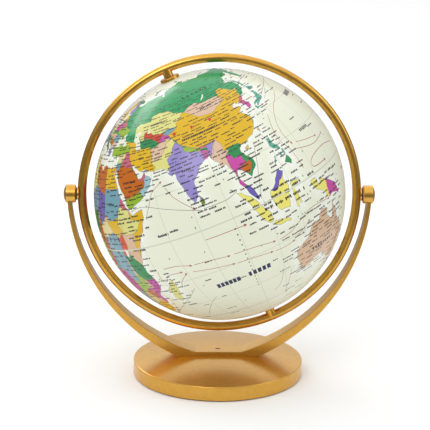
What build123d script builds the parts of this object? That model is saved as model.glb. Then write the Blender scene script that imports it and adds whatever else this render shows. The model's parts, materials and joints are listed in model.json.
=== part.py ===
"""Desktop globe on a stand.

A hollow globe spins on two pole pins inside a full meridian ring, the ring swings on two
pivot pins in a crescent yoke, and one screw holds the yoke on a weighted, domed base.
Millimetres, +Z up, origin at the centre of the base's underside, +X along the swing axis.
"""

import math
import os

from build123d import *

# Driving dimensions
globe_radius = 100.0
pivot_height = 150.0
polar_tilt = 23.4  # the north pole leans this many degrees from the ring's top towards -X
ring_lean = 2.7  # the swinging ring rests with its top this many degrees back, towards +Y
running_clearance = 0.05
axial_gap = 0.3

# Base
base_radius = 68.4
base_rim_height = 12.0
base_crown = 4.6
cover_wall = 1.2
cover_bottom = 0.8
rim_fillet = 0.8
pad_radius = 66.0
pad_thickness = 1.5
plate_thickness = 1.2
weight_rim_gap = 0.4
screw_radius = 2.0
screw_head_radius = 4.0
screw_head_height = 3.0
screw_socket_depth = 1.8
screw_tip_recess = 0.5
washer_radius = 6.0
washer_thickness = 1.0
counterbore_radius = 7.0
counterbore_depth = 4.5

# Yoke
yoke_foot_half = 32.0
yoke_seat_half = 18.3
yoke_seat_thickness = 3.2
yoke_tip_outer = 120.8
yoke_tip_inner = 117.5
yoke_outer_arc = 153.0
yoke_inner_arc = 139.7
yoke_foot_depth = 16.0
yoke_mid_depth = 12.6
yoke_tip_depth = 11.0
yoke_edge = 0.4
nub_radius = 1.5
nub_offset = 24.0
nub_length = 1.0

# Meridian ring
ring_radius = 109.2
tube_radius = 3.5
tube_wall = 1.0

# Swing pivots, measured outwards along X from the pivot centre
barrel_radius = 7.25
barrel_start = 113.9
barrel_end = 121.4
barrel_chamfer = 0.8
cap_dome = 2.0
cap_band = 0.4
cap_spigot_radius = 4.5
cap_spigot_length = 1.6
bush_flange_radius = 5.0
bush_flange_start = 111.9
bush_flange_end = 113.0
bush_sleeve_radius = 2.3
bush_sleeve_start = 108.5
pin_radius = 1.5
pivot_pin_start = 107.9
pivot_shank_radius = 3.0
pivot_shank_start = 114.9
pivot_shank_end = 119.5

# Globe, measured outwards along the polar axis from the pivot centre
map_thickness = 0.3
shell_wall = 1.2
band_wall = 1.8
band_half_width = 7.0
pole_sleeve_radius = 4.0
pole_sleeve_start = 93.5
pole_sleeve_end = 101.0
pole_flange_radius = 9.0
pole_flange_start = 96.0
pole_cap_radius = 7.75
pole_cap_top = 102.2
pole_cap_fillet = 0.6
post_radius = 3.85
post_end = 108.8
pole_pin_start = 90.0
pole_pin_end = 105.4

# Derived places
pivot_centre = (0, 0, pivot_height)
plate_bottom = pad_thickness
weight_bottom = plate_bottom + plate_thickness
inner_radius = base_radius - cover_wall
weight_radius = inner_radius - weight_rim_gap
dome_radius = (base_radius**2 + base_crown**2) / (2 * base_crown)
dome_centre = base_rim_height + base_crown - dome_radius
seat_height = base_rim_height + base_crown + yoke_seat_thickness
screw_seat = weight_bottom + counterbore_depth
map_inner = globe_radius - map_thickness
shell_inner = map_inner - shell_wall

on_base = (Align.CENTER, Align.CENTER, Align.MIN)
lean = math.radians(ring_lean)
tilt = math.radians(polar_tilt)
ring_top = Vector(0, math.sin(lean), math.cos(lean))
ring_front = Vector(0, -math.cos(lean), math.sin(lean))
swing_plane = Plane(origin=pivot_centre, x_dir=(1, 0, 0), z_dir=ring_front)
north = ring_top * math.cos(tilt) - Vector(math.sin(tilt), 0, 0)
sides = {"left": Plane(origin=pivot_centre, z_dir=(-1, 0, 0)),
         "right": Plane(origin=pivot_centre, z_dir=(1, 0, 0))}
poles = {"north": Plane(origin=pivot_centre, z_dir=north),
         "south": Plane(origin=pivot_centre, z_dir=north * -1)}


def rod(plane, radius, start, end, mode=Mode.ADD):
    """A cylinder along a plane's normal, between two distances from its origin."""
    with Locations(plane.offset(start)):
        Cylinder(radius, end - start, align=on_base, mode=mode)


def ball(radius, mode=Mode.ADD):
    """A sphere about the pivot centre."""
    with Locations(pivot_centre):
        Sphere(radius, mode=mode)


def tube_torus(radius, mode=Mode.ADD):
    """The meridian ring's torus, with the given tube radius."""
    with Locations(swing_plane):
        Torus(ring_radius, radius, mode=mode)


def dome_height(x, cap_radius):
    """Height of a cap of a sphere about the dome's centre, at a distance from the axis."""
    return dome_centre + math.sqrt(cap_radius**2 - x**2)


def domed_section(radius, bottom, cap_radius):
    """Half section of a disc whose top is a cap of a sphere about the dome's centre."""
    apex = (0, dome_height(0, cap_radius))
    middle = (radius / 2, dome_height(radius / 2, cap_radius))
    rim = (radius, dome_height(radius, cap_radius))
    with BuildSketch(Plane.XZ) as section:
        with BuildLine():
            Polyline(apex, (0, bottom), (radius, bottom), rim)
            ThreePointArc(rim, middle, apex)
        make_face()
    return section.sketch


def write(part, name):
    """Label a finished part and write its STEP file."""
    part.label = name
    export_step(part, f"parts/{name}.step")


os.makedirs("parts", exist_ok=True)
foot_height = dome_height(yoke_foot_half, dome_radius)
nub_bottom = dome_height(nub_offset, dome_radius) - nub_length

# Base: a spun cover over a cast weight, closed by a plate and a soft pad
with BuildPart() as base_cover:
    revolve(domed_section(base_radius, cover_bottom, dome_radius), axis=Axis.Z)
    rim = base_cover.edges().filter_by(Plane.XY).sort_by(Axis.Z)[-1]
    fillet(rim, rim_fillet)
    hollow = domed_section(inner_radius, cover_bottom, dome_radius - cover_wall)
    revolve(hollow, axis=Axis.Z, mode=Mode.SUBTRACT)
    rod(Plane.XY, screw_radius + axial_gap, 0, seat_height, Mode.SUBTRACT)
    with Locations((-nub_offset, 0, 0), (nub_offset, 0, 0)):
        Hole(nub_radius)
write(base_cover.part, "base_cover")

with BuildPart() as base_weight:
    revolve(domed_section(weight_radius, weight_bottom, dome_radius - cover_wall), axis=Axis.Z)
    with Locations(Plane(origin=(0, 0, weight_bottom), z_dir=(0, 0, -1))):
        CounterBoreHole(screw_radius + axial_gap, counterbore_radius, counterbore_depth)
write(base_weight.part, "base_weight")

with BuildPart() as base_plate:
    rod(Plane.XY, inner_radius, plate_bottom, weight_bottom)
write(base_plate.part, "base_plate")

with BuildPart() as base_pad:
    rod(Plane.XY, pad_radius, 0, pad_thickness)
    chamfer(base_pad.edges().sort_by(Axis.Z)[0], pad_thickness / 3)
write(base_pad.part, "base_pad")

with BuildPart() as base_washer:
    rod(Plane.XY, washer_radius, screw_seat - washer_thickness, screw_seat)
    Hole(screw_radius + axial_gap)
write(base_washer.part, "base_washer")

with BuildPart() as base_screw:
    head_top = screw_seat - washer_thickness
    head_bottom = head_top - screw_head_height
    rod(Plane.XY, screw_head_radius, head_bottom, head_top)
    rod(Plane.XY, screw_radius, head_top, seat_height - screw_tip_recess)
    chamfer(base_screw.edges().sort_by(Axis.Z)[-1], screw_radius / 4)
    with BuildSketch(Plane.XY.offset(head_bottom)):
        RegularPolygon(screw_head_radius / 2, 6)
    extrude(amount=screw_socket_depth, mode=Mode.SUBTRACT)
write(base_screw.part, "base_screw")

# Yoke: a crescent seen from the front, tapered in depth towards its tips
with BuildPart() as yoke:
    with BuildSketch(Plane.XZ):
        with BuildLine() as outline:
            foot = (yoke_foot_half, foot_height)
            seat = (yoke_seat_half, seat_height)
            outer_tip = (yoke_tip_outer, pivot_height)
            inner_tip = (yoke_tip_inner, pivot_height)
            Line((0, foot_height), foot)
            RadiusArc(foot, outer_tip, -yoke_outer_arc)
            Line(outer_tip, inner_tip)
            RadiusArc(inner_tip, seat, yoke_inner_arc)
            Line(seat, (0, seat_height))
            mirror(about=Plane.YZ)
        make_face()
    extrude(amount=yoke_foot_depth, both=True)
    with BuildSketch(Plane.YZ):
        with BuildLine():
            mid_height = (pivot_height + foot_height) / 2
            foot_corner = (yoke_foot_depth / 2, foot_height)
            tip_corner = (yoke_tip_depth / 2, pivot_height)
            Line((0, foot_height), foot_corner)
            ThreePointArc(foot_corner, (yoke_mid_depth / 2, mid_height), tip_corner)
            Line(tip_corner, (0, pivot_height))
            mirror(about=Plane.YZ)
        make_face()
    extrude(amount=yoke_tip_outer + 1, both=True, mode=Mode.INTERSECT)
    long_edges = yoke.edges().filter_by(lambda edge: edge.length > 2 * yoke_seat_half - 1)
    fillet(long_edges, yoke_edge)
    revolve(domed_section(base_radius, 0, dome_radius), axis=Axis.Z, mode=Mode.SUBTRACT)
    for outward in sides.values():
        rod(outward, barrel_radius, barrel_start, barrel_end, Mode.SUBTRACT)
    with Locations((-nub_offset, 0, nub_bottom), (nub_offset, 0, nub_bottom)):
        Cylinder(nub_radius, 2 * nub_length, align=on_base)
    Hole(screw_radius)
write(yoke.part, "yoke")

# Swing pivots: barrel, domed cap, stepped pin and thrust washer on each yoke tip
for side, outward in sides.items():
    with BuildPart() as barrel:
        rod(outward, barrel_radius, barrel_start, barrel_end)
        chamfer(barrel.edges().sort_by(Axis(pivot_centre, outward.z_dir))[0], barrel_chamfer)
        rod(outward, pin_radius, barrel_start, pivot_shank_start, Mode.SUBTRACT)
        rod(outward, pivot_shank_radius, pivot_shank_start, pivot_shank_end, Mode.SUBTRACT)
        rod(outward, cap_spigot_radius, pivot_shank_end, barrel_end, Mode.SUBTRACT)
    write(barrel.part, f"{side}_barrel")

    with BuildPart() as cap:
        dome_start = barrel_end + cap_band
        cap_sphere = (barrel_radius**2 + cap_dome**2) / (2 * cap_dome)
        rod(outward, barrel_radius, barrel_end, dome_start + cap_dome)
        with Locations(outward.offset(dome_start + cap_dome - cap_sphere)):
            Sphere(cap_sphere, mode=Mode.INTERSECT)
        rod(outward, cap_spigot_radius, barrel_end - cap_spigot_length, barrel_end)
    write(cap.part, f"{side}_pivot_cap")

    with BuildPart() as pivot_pin:
        rod(outward, pin_radius, pivot_pin_start, pivot_shank_start)
        rod(outward, pivot_shank_radius, pivot_shank_start, pivot_shank_end)
    write(pivot_pin.part, f"{side}_pivot_pin")

    with BuildPart() as thrust_washer:
        rod(outward, bush_flange_radius, bush_flange_end + axial_gap, barrel_start)
        rod(outward, pin_radius, bush_flange_end, barrel_start, Mode.SUBTRACT)
    write(thrust_washer.part, f"{side}_thrust_washer")

# Meridian ring: a bent tube, drilled on the swing axis for the pivot bushes
with BuildPart() as meridian_ring:
    tube_torus(tube_radius)
    tube_torus(tube_radius - tube_wall, Mode.SUBTRACT)
    for outward in sides.values():
        rod(outward, bush_sleeve_radius, ring_radius, bush_flange_end, Mode.SUBTRACT)
write(meridian_ring.part, "meridian_ring")

for side, outward in sides.items():
    with BuildPart() as ring_bush:
        rod(outward, bush_flange_radius, bush_flange_start, bush_flange_end)
        tube_torus(tube_radius, Mode.SUBTRACT)
        rod(outward, bush_sleeve_radius, bush_sleeve_start, bush_flange_end)
        rod(outward, pin_radius + running_clearance, bush_sleeve_start, bush_flange_end, Mode.SUBTRACT)
    write(ring_bush.part, f"{side}_ring_bush")

# Globe: two half shells with printed maps, a joint band, and a bush and a cap at each pole
for pole, outward in poles.items():
    with BuildPart() as post:
        rod(outward, post_radius, pole_cap_top + axial_gap, post_end)
        tube_torus(tube_radius, Mode.SUBTRACT)
        rod(outward, pin_radius, pole_cap_top, pole_pin_end, Mode.SUBTRACT)
    write(post.part, f"{pole}_post")

    with BuildPart() as pole_pin:
        rod(outward, pin_radius, pole_pin_start, pole_pin_end)
    write(pole_pin.part, f"{pole}_pole_pin")

    with BuildPart() as shell:
        ball(map_inner)
        ball(shell_inner, Mode.SUBTRACT)
        split(bisect_by=outward)
        rod(outward, pole_sleeve_radius, pole_sleeve_start, globe_radius, Mode.SUBTRACT)
    write(shell.part, f"{pole}_shell")

    with BuildPart() as printed_map:
        ball(globe_radius)
        ball(map_inner, Mode.SUBTRACT)
        split(bisect_by=outward)
        rod(outward, pole_sleeve_radius, pole_sleeve_start, globe_radius, Mode.SUBTRACT)
    write(printed_map.part, f"{pole}_map")

    with BuildPart() as pole_bush:
        rod(outward, pole_flange_radius, pole_flange_start, globe_radius)
        ball(shell_inner, Mode.INTERSECT)
        rod(outward, pole_sleeve_radius, pole_sleeve_start, pole_sleeve_end)
        rod(outward, pin_radius + running_clearance, pole_sleeve_start, pole_sleeve_end, Mode.SUBTRACT)
    write(pole_bush.part, f"{pole}_pole_bush")

    with BuildPart() as pole_cap:
        rod(outward, pole_cap_radius, globe_radius - shell_wall, pole_cap_top)
        fillet(pole_cap.edges().sort_by(Axis(pivot_centre, outward.z_dir))[-1], pole_cap_fillet)
        ball(globe_radius, Mode.SUBTRACT)
        rod(outward, pole_sleeve_radius, globe_radius - shell_wall, pole_sleeve_end, Mode.SUBTRACT)
        rod(outward, pin_radius + running_clearance, pole_sleeve_end, pole_cap_top, Mode.SUBTRACT)
    write(pole_cap.part, f"{pole}_pole_cap")

with BuildPart() as joint_band:
    equator = poles["north"]
    rod(equator, globe_radius, -band_half_width, band_half_width)
    ball(shell_inner, Mode.INTERSECT)
    rod(equator, shell_inner - band_wall, -band_half_width, band_half_width, Mode.SUBTRACT)
write(joint_band.part, "joint_band")
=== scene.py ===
"""Looks of the desktop globe on its stand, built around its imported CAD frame. Metres, +Z up.

The two printed maps are meshes cut along coasts, borders, lines and lettering strokes, so every
ink is a material of its own with a crisp edge. Everything else is a CAD node with a finish.
"""

import json
import math
import random

import bpy
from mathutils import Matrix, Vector, geometry, kdtree, noise


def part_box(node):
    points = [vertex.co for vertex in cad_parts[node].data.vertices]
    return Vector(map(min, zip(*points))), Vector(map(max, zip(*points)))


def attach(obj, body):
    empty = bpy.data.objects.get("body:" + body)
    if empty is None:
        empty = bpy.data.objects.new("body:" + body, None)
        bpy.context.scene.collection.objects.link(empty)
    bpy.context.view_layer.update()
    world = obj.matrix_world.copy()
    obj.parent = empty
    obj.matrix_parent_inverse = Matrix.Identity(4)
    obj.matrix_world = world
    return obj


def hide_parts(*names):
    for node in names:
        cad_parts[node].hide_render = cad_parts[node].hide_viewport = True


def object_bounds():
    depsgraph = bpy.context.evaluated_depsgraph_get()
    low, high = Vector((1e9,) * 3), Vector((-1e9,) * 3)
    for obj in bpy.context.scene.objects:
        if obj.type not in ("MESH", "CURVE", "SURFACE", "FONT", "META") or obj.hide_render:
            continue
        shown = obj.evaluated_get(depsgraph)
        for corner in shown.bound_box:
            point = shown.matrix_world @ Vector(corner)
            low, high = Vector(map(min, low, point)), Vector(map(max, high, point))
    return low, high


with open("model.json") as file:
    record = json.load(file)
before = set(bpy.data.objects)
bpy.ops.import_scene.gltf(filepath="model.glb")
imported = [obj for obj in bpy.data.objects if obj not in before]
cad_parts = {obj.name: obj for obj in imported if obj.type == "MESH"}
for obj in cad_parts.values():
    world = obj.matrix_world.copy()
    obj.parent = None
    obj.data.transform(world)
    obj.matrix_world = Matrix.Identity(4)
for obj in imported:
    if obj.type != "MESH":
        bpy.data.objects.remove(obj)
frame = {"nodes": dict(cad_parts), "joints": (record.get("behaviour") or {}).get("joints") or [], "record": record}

cad_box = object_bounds()

# ---------------------------------------------------------------- places taken from the frame

joints = {joint["name"]: joint for joint in frame["joints"]}
pivot = Vector(joints["ring_tilt"]["pos_m"])
north_axis = Vector(joints["globe_spin"]["axis"]).normalized()
swing_axis = Vector(joints["ring_tilt"]["axis"]).normalized()
front_axis = swing_axis.cross(north_axis).normalized()
east_axis = north_axis.cross(front_axis)
globe_radius = pivot.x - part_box("north_map")[0].x
map_thickness = 0.0003

# ---------------------------------------------------------------- the map's layout, in degrees

front_longitude = 85.5    # the longitude that faces the front at rest
press_shift = 6.2         # forming the flat print into a dome moves mid latitudes this far polewards
press_bias = 0.62         # below 1, the largest shift is nearer the equator
pole_hole = 2.3           # the print ends here, under the pole cap
coast_step = 1.25
grid_step = 2.6
graticule_step = 15
line_width = 0.13
current_width = 0.2
border_width = 0.11
equator_width = 0.3
wiggle_octaves = ((19.0, 0.55), (50.0, 0.3))
shelf_reach = 0.05       # how far the paler shallow water reaches from a coast, in globe radii


def srgb(red, green, blue):
    """Linear colour of an sRGB colour given in 0 to 255."""
    def linear(value):
        value /= 255
        return value / 12.92 if value < 0.04045 else ((value + 0.055) / 1.055) ** 2.4
    return linear(red), linear(green), linear(blue), 1.0


inks = {
    "ocean": srgb(226, 229, 208),
    "russia_green": srgb(18, 148, 84),
    "leaf_green": srgb(28, 134, 72),
    "lime": srgb(142, 176, 40),
    "pale_yellow": srgb(214, 211, 128),
    "lemon": srgb(230, 221, 112),
    "cream": srgb(218, 204, 142),
    "gold": srgb(216, 174, 14),
    "orange": srgb(188, 98, 10),
    "red_orange": srgb(202, 66, 28),
    "peach": srgb(210, 176, 144),
    "pink": srgb(214, 182, 154),
    "magenta": srgb(192, 70, 156),
    "rose": srgb(196, 96, 118),
    "lavender": srgb(144, 132, 194),
    "violet": srgb(104, 90, 172),
    "steel_blue": srgb(110, 156, 170),
    "pale_blue": srgb(150, 186, 194),
    "teal": srgb(82, 166, 142),
    "olive": srgb(116, 134, 44),
    "ice": srgb(236, 239, 234),
    "letter": srgb(36, 34, 40),
    "navy": srgb(38, 40, 84),
    "letter_red": srgb(196, 52, 40),
    "current": srgb(160, 78, 84),
    "grey_line": srgb(176, 180, 166),
    "border_line": srgb(122, 104, 84),
    "coast_line": srgb(104, 124, 128),
    "equator": srgb(204, 206, 188),
}
ink_names = list(inks)

# Coasts as (longitude, latitude), each land with the ink it shows where no country covers it
lands = {
    "eurasia": ("russia_green", [
        (32.5, 30), (34.3, 27.8), (35, 29.4), (37.2, 25), (39, 21.5), (41.5, 17.5), (43.3, 12.8), (45, 12.8),
        (48.5, 14), (52.2, 15.6), (55, 17.2), (57.8, 19), (59.8, 22.4), (58.5, 23.6), (56.4, 24.8), (56.3, 26.3),
        (54.4, 24.3), (51.8, 24.1), (51.3, 26), (50.2, 26.6), (48.6, 28.2), (48, 30), (50, 30), (51, 28),
        (54, 26.6), (56.5, 27.1), (57.3, 25.7), (61.5, 25.1), (66.6, 25.2), (68.2, 23.7), (70.3, 22.8),
        (69, 22.2), (70.9, 20.8), (72.5, 21.8), (72.8, 19), (74.2, 15), (76.3, 10), (77.5, 8.1), (78.2, 8.9),
        (79.8, 10.3), (80.2, 13.2), (80.3, 15.6), (82.3, 16.7), (85, 19.5), (87, 21.4), (89, 21.8),
        (91.5, 22.6), (92.3, 20.8), (94.3, 18), (94.4, 16), (97, 16.9), (97.8, 15), (98.7, 11.5), (98.3, 8.2),
        (100.3, 5.8), (101.3, 2.9), (103.5, 1.3), (104.2, 1.6), (103.4, 4), (102.2, 6.2), (100.5, 7.2),
        (99.2, 9.5), (99.8, 12), (100.5, 13.4), (102.3, 12.2), (103.5, 10.6), (104.8, 8.7), (106.8, 10.4),
        (109.2, 11.9), (109.2, 13.8), (108.3, 16), (106, 18.5), (106.2, 20), (108, 21.5), (109.7, 21.4),
        (110, 20.4), (110.6, 21.3), (113.5, 22.2), (116.8, 23.3), (119, 25.3), (121.7, 28.2), (122, 30),
        (121.5, 31.7), (120.3, 34), (119.3, 35.1), (122.5, 36.9), (121, 37.6), (119, 37.3), (117.7, 39),
        (121.2, 40.9), (121.3, 38.9), (124.3, 40), (125.3, 38), (126.5, 36.5), (126.3, 34.5), (129.2, 35.2),
        (129.4, 37), (127.5, 39.5), (129.7, 41), (130.7, 42.3), (133, 42.8), (135.8, 44.5), (140.3, 48.5),
        (140.7, 51), (141.3, 53), (137.5, 53.8), (135.2, 54.8), (140, 57.5), (143, 59.3), (148, 59.4),
        (152, 59), (155, 59.6), (160, 61.7), (164, 62.5), (160, 60.4), (156.8, 57.8), (155.7, 54),
        (156.7, 51), (159.8, 53.2), (162.2, 56), (163, 58.2), (164.5, 59.8), (170, 60), (176, 62.4),
        (179.5, 62.5), (178, 64.5), (184, 65), (190.3, 66), (184, 67.2), (180, 69), (175, 69.8), (170, 69.1),
        (160, 69.7), (152, 71), (140, 72.5), (133, 71.5), (128, 72.8), (123, 73.3), (113, 73.8), (108, 74.3),
        (112, 76.2), (104.3, 77.7), (95, 76), (87, 75), (81, 73.6), (76, 72.6), (72.8, 72.9), (72, 69),
        (73.8, 67), (69.5, 67.3), (68.5, 71), (66, 69.5), (60.5, 69.6), (54, 68.5), (46, 68), (44, 66.3),
        (40, 64.7), (35, 64.3), (33, 67), (40.8, 66.6), (40, 68), (33, 69.4), (28, 71), (20, 70), (14.5, 68),
        (10, 64), (5, 62), (5, 59), (7, 58), (10.5, 59.3), (11.4, 58.5), (12.8, 55.6), (14.3, 55.5),
        (16.5, 57), (18.8, 60), (17.2, 61.7), (21.5, 64.3), (24, 65.8), (25.3, 65), (21.5, 62.5),
        (21.8, 60.7), (25, 60.2), (29.8, 60), (28, 59.5), (23.5, 59.1), (24.3, 57.4), (21.7, 57.3),
        (21, 55.3), (19, 54.3), (14.3, 54), (11, 54), (10.8, 56), (10.4, 57.6), (8.2, 56.8), (8.7, 54),
        (6.8, 53.5), (4.5, 52.3), (2, 51), (1.5, 50.1), (-1.5, 49.6), (-4.7, 48.4), (-2, 47.2), (-1.2, 45.5),
        (-1.6, 43.4), (-8, 43.7), (-9.3, 43), (-8.7, 41), (-9.4, 38.7), (-8.9, 37), (-6.4, 36.8),
        (-5.5, 36), (-2, 36.8), (-0.3, 38.7), (0, 40), (3.2, 42.2), (3.5, 43.3), (6.5, 43.1), (8.8, 44.4),
        (10.5, 42.9), (12.3, 41.7), (15.6, 40), (15.9, 38), (17.1, 39), (16.8, 40.4), (18.4, 40.1),
        (16, 41.6), (13.6, 43.6), (12.4, 45.2), (13.8, 45.3), (15.5, 43.7), (19.3, 41.9), (19.5, 40),
        (21.3, 37.8), (22.7, 36.6), (24, 38), (22.9, 40.3), (26, 40.7), (26.6, 40), (27.2, 37), (30.5, 36.7),
        (33, 36.1), (36, 36.7), (35.7, 34.7), (34.5, 31.5), (32.5, 31.2)]),
    "africa": ("peach", [
        (-5.9, 35.7), (-2, 35.1), (3, 36.8), (10, 37.3), (11, 35.5), (10.2, 34), (15, 32.3), (19, 30.3),
        (20.1, 32.2), (23, 32.6), (29, 30.9), (31, 31.5), (32.5, 31.2), (32.5, 30), (34, 27), (35.7, 24),
        (37.2, 21), (38.5, 18), (41, 14.8), (43.1, 12.3), (43.3, 11.5), (44.5, 10.4), (47, 11.1),
        (51.2, 11.9), (50.8, 9), (48, 4.5), (45, 2), (41.6, -1.7), (39.5, -4.5), (39.3, -8), (40.6, -10.7),
        (40.7, -15), (36.9, -17.9), (34.8, -19.8), (35.5, -23.9), (32.8, -26), (32.5, -28.5), (30, -31.3),
        (27, -33.6), (23, -34), (20, -34.8), (18.3, -34), (18.2, -31.6), (16, -28.3), (14.5, -22.5),
        (11.8, -17.3), (13.7, -12), (13, -8), (12, -5), (9, -1), (9.5, 3.5), (8.5, 4.6), (6, 4.3), (4.3, 6.3),
        (-2, 5), (-7.7, 4.4), (-13.3, 8.5), (-16.7, 12.4), (-17.4, 14.7), (-16.3, 19), (-17, 21),
        (-14.5, 26.2), (-9.7, 30), (-9, 32.5), (-6.8, 34)]),
    "madagascar": ("pale_yellow", [
        (49.3, -12), (50.4, -15.8), (47.1, -25), (44.9, -25.4), (43.4, -22), (44.4, -19.8), (44, -17),
        (47, -15.3)]),
    "ceylon": ("olive", [(80, 9.7), (81.8, 7.5), (81, 6.1), (80.1, 6.1), (79.8, 8)]),
    "sumatra": ("lemon", [
        (95.3, 5.6), (97.5, 5.2), (100.4, 2.8), (103.5, 0), (106, -3), (105.8, -5.8), (104.5, -5.8),
        (102.3, -4), (100.4, -1), (98.7, 1.7)]),
    "java": ("lemon", [
        (105.2, -6.8), (106.7, -6), (110.5, -6.5), (114.4, -7.7), (114.5, -8.7), (108, -7.8)]),
    "borneo": ("lemon", [
        (109, 1.5), (111.3, 2.5), (113, 3.2), (115, 5), (117, 7), (119.2, 5.2), (117.7, 3.5), (118.9, 1),
        (116.5, -1.8), (116, -3.9), (114.5, -4), (111.5, -3.3), (110, -1.5), (109, 0.3)]),
    "sulawesi": ("lemon", [
        (119, -3.3), (119.8, 0.8), (121, 1.3), (125, 1.6), (123, 0.5), (120.4, 0.2), (121, -1), (123.3, -0.9),
        (121.8, -1.9), (122.5, -4.6), (121.4, -4.6), (121, -2.8), (120.3, -5.6), (119.4, -5.4)]),
    "new_guinea": ("magenta", [
        (131, -0.8), (134, -0.8), (135, -3.3), (137.8, -1.6), (141, -2.6), (145.8, -5), (147.8, -6),
        (150.8, -10.3), (147, -9.5), (143.5, -8.5), (141, -9.1), (138, -8.3), (138.5, -7), (135, -4.4),
        (132.8, -4), (132, -2.8)]),
    "australia": ("peach", [
        (113.7, -22.5), (117, -20.7), (121.5, -19), (122.3, -17.3), (125, -14.8), (127, -14), (129.5, -14.9),
        (131, -12.3), (133, -11.5), (136.8, -12.2), (135.8, -14.8), (139.3, -17.4), (140.9, -17.4),
        (141.7, -13), (142.5, -10.8), (143.8, -14.3), (145.5, -16), (146.3, -18.9), (149.2, -21),
        (153, -25.3), (153.5, -28.5), (151.5, -33), (150, -37.3), (146.4, -39), (143.6, -38.8), (140.5, -38),
        (138, -35.5), (137.6, -33), (135.7, -34.8), (134, -32.6), (131, -31.5), (126, -32.3), (123.5, -33.9),
        (118, -35), (115.2, -34.3), (115.7, -31.8), (113.6, -26.5)]),
    "tasmania": ("peach", [(144.8, -40.8), (148.2, -40.9), (147.5, -43.3), (146, -43.4)]),
    "south_pacific_north": ("lavender", [
        (172.8, -34.5), (175.3, -36.8), (178.3, -37.8), (176.8, -40), (175.2, -41.5), (173.9, -39.3),
        (174.7, -37.5)]),
    "south_pacific_south": ("lavender", [
        (172.7, -40.6), (174.2, -41.8), (172.8, -43.8), (170.7, -45.9), (168.4, -46.6), (166.6, -45.8),
        (170.5, -42.9)]),
    "honshu": ("teal", [
        (130.9, 34), (132.7, 35.5), (136, 35.7), (137, 37.3), (139.8, 39.5), (140.3, 41.2), (141.5, 41.3),
        (142, 39.5), (140.8, 37), (140.8, 35.7), (139, 34.8), (136.8, 34.4), (135.4, 33.6), (133, 34.3)]),
    "hokkaido": ("teal", [(140.2, 41.8), (141.5, 45.3), (145, 44.1), (145.3, 43.3), (143.2, 42), (141, 42.5)]),
    "kyushu": ("teal", [(130, 33.3), (131, 33.9), (131.8, 32.7), (130.8, 31.2), (130, 32.2)]),
    "shikoku": ("teal", [(132.3, 33.6), (134.6, 34.2), (134.2, 33.4), (132.8, 32.9)]),
    "sakhalin": ("russia_green", [(142, 46.2), (142.2, 54), (143.4, 53.5), (144.4, 49.2), (143.2, 46.8)]),
    "taiwan": ("gold", [(120.2, 23.2), (121.6, 25.2), (121, 22.1)]),
    "hainan": ("gold", [(108.7, 19.2), (110.8, 20.1), (110.1, 18.3)]),
    "luzon": ("teal", [
        (120.5, 18.3), (122.2, 18.4), (121.8, 16), (124, 13.6), (123.8, 12.8), (120.8, 13.9), (120.1, 15.6)]),
    "mindanao": ("leaf_green", [
        (122.2, 7.5), (123.7, 8.5), (125.5, 9.6), (126.4, 7.3), (125.4, 5.8), (124, 6.7)]),
    "panay": ("teal", [(122, 11.7), (123.2, 10.8), (123.2, 9.3), (122.4, 10)]),
    "samar": ("teal", [(124.4, 12.5), (125.4, 12.2), (125.3, 10.3), (124.4, 10.6)]),
    "palawan": ("teal", [(117.2, 8.4), (119.3, 11.2), (119.6, 10.6), (117.8, 8.6)]),
    "britain": ("rose", [
        (-5.5, 50.1), (1.2, 51.2), (1.6, 52.7), (0, 53.6), (-1.6, 55.5), (-2, 57.6), (-3.2, 58.6),
        (-5.1, 58.5), (-5.6, 56.3), (-3.2, 54.8), (-4.4, 53.2), (-5.1, 51.8), (-3, 51.4)]),
    "ireland": ("leaf_green", [(-10, 52), (-6.3, 52.3), (-6, 54), (-7.3, 55.3), (-8.5, 54.5), (-10, 53.9)]),
    "iceland": ("lavender", [
        (-22.5, 64), (-18.7, 63.5), (-14.5, 65), (-16, 66.5), (-21.5, 66), (-24, 65.5)]),
    "novaya_zemlya": ("russia_green", [
        (52, 71.5), (57, 70.8), (57, 73), (61, 75.2), (68.5, 76.8), (62, 76.2), (55, 74)]),
    "svalbard": ("ice", [(12, 79.5), (20, 80.3), (27, 80), (18, 76.7), (14, 77.5)]),
    "severnaya": ("russia_green", [(95, 79), (98, 80.8), (105, 79), (100, 78.2)]),
    "greenland": ("ice", [
        (-73, 78.2), (-60, 82), (-35, 83.4), (-20, 81.7), (-18, 77), (-20, 74), (-22, 70.5), (-32, 68),
        (-40, 65), (-43, 60), (-48, 61), (-53, 66), (-54, 70), (-58, 75), (-68, 76)]),
    "north_america": ("rose", [
        (-168, 65.6), (-162, 66.5), (-166, 68.4), (-156.5, 71.3), (-141, 69.7), (-128, 70.3), (-115, 68.5),
        (-108, 68), (-95, 68.5), (-94, 72), (-85, 69.5), (-82, 68), (-87, 64.5), (-94.5, 60), (-92.5, 57),
        (-82.5, 55.2), (-79, 51.5), (-78.8, 54.5), (-77, 57.5), (-78, 62.3), (-70, 61), (-65, 59),
        (-61.5, 57), (-56, 52.5), (-60, 50.2), (-66.5, 50.2), (-65, 48.5), (-61, 46), (-65.5, 43.6),
        (-67, 44.7), (-70.3, 43.3), (-70, 41.7), (-74, 40.6), (-75.6, 37), (-76, 35), (-81, 31.5),
        (-80.2, 27), (-80.5, 25.2), (-82.7, 28), (-84, 30), (-89.5, 30), (-94, 29.5), (-97.3, 27.5),
        (-97.5, 23), (-95.8, 18.6), (-91.5, 18.5), (-90.3, 21), (-87, 21.5), (-88, 16), (-83.3, 15),
        (-83.7, 11), (-82, 9), (-79.5, 9.6), (-77.3, 8.5), (-78.2, 7.6), (-80.3, 7.4), (-83.5, 8.5),
        (-87.5, 13), (-92.2, 14.5), (-96.5, 15.7), (-105.5, 20.3), (-109.5, 25.7), (-112.8, 30),
        (-114.7, 31.7), (-111.2, 26), (-109.5, 23), (-112.2, 25.4), (-115, 29), (-117.2, 32.6),
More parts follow.
